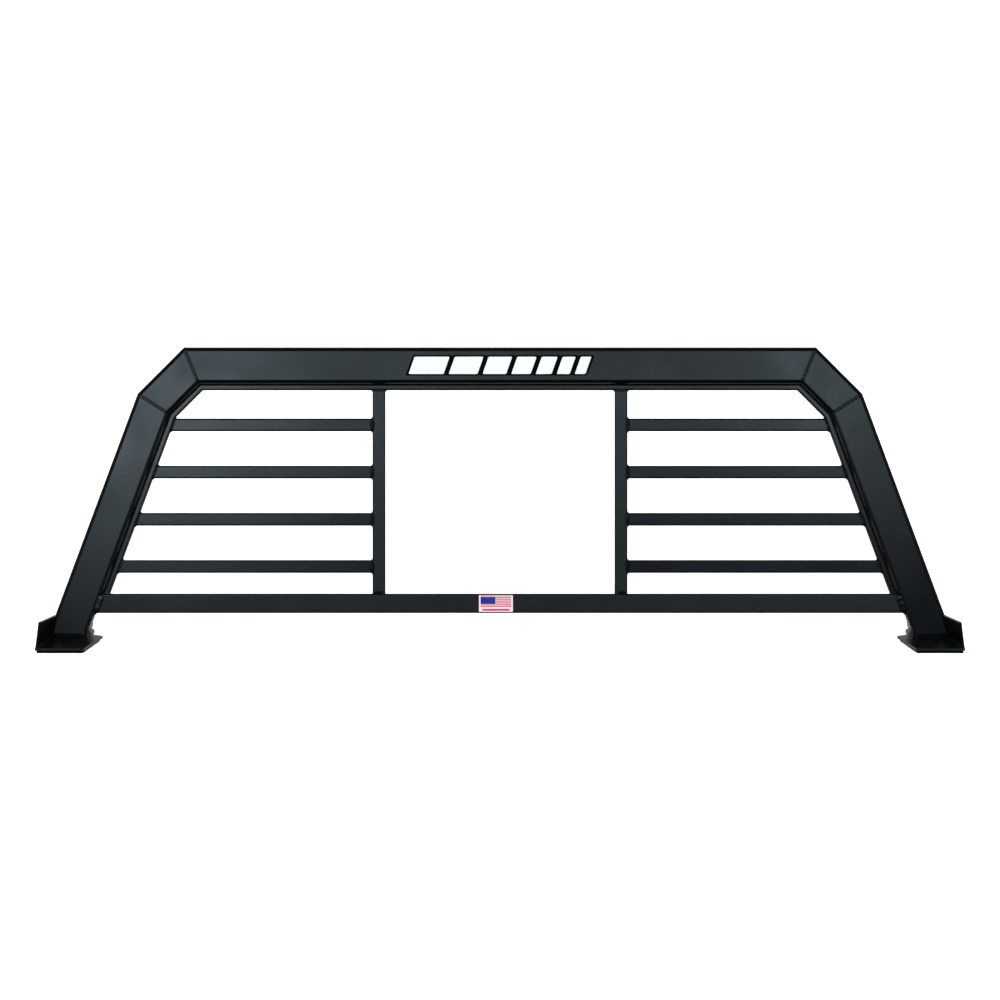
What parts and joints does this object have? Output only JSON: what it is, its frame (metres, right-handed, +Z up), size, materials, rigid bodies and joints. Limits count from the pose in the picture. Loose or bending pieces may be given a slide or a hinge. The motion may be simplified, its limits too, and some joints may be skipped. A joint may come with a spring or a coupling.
{
  "type": "headache rack",
  "caption": "Black powder-coated headache rack for a pickup truck: a leaning tube hoop with louvre bars beside an open window, on two footed legs.",
  "frame": {"origin": "on the ground under the middle of the rack, halfway between the front edge of the base plates and the back of the top beam", "axes": "+X to the right seen from the tailgate, +Y toward the cab, +Z up"},
  "size_m": [1.8084, 0.2618, 0.5666],
  "materials": {
    "powder_coat": "satin",
    "coated_weld": "satin",
    "foot_rubber": "matte",
    "white_vinyl": "gloss",
    "label_vinyl": "gloss"
  },
  "bodies": {
    "root": {"top_beam": "powder_coat", "left_diagonal": "powder_coat", "right_diagonal": "powder_coat", "left_leg": "powder_coat", "right_leg": "powder_coat", "top_liner": "powder_coat", "left_diagonal_liner": "powder_coat", "right_diagonal_liner": "powder_coat", "left_leg_liner": "powder_coat", "right_leg_liner": "powder_coat", "left_post": "powder_coat", "right_post": "powder_coat", "left_crossbar_1": "powder_coat", "left_crossbar_2": "powder_coat", "left_crossbar_3": "powder_coat", "left_crossbar_4": "powder_coat", "right_crossbar_1": "powder_coat", "right_crossbar_2": "powder_coat", "right_crossbar_3": "powder_coat", "right_crossbar_4": "powder_coat", "bottom_rail": "powder_coat", "left_base_plate": "powder_coat", "right_base_plate": "powder_coat", "left_gusset": "powder_coat", "right_gusset": "powder_coat", "left_foot_pad": "foot_rubber", "right_foot_pad": "foot_rubber", "mitre_welds": "coated_weld", "liner_welds": "coated_weld", "crossbar_welds": "coated_weld", "post_welds": "coated_weld", "rail_welds": "coated_weld", "foot_welds": "coated_weld", "beam_decal": "white_vinyl", "rail_sticker": "label_vinyl"}
  },
  "joints": []
}
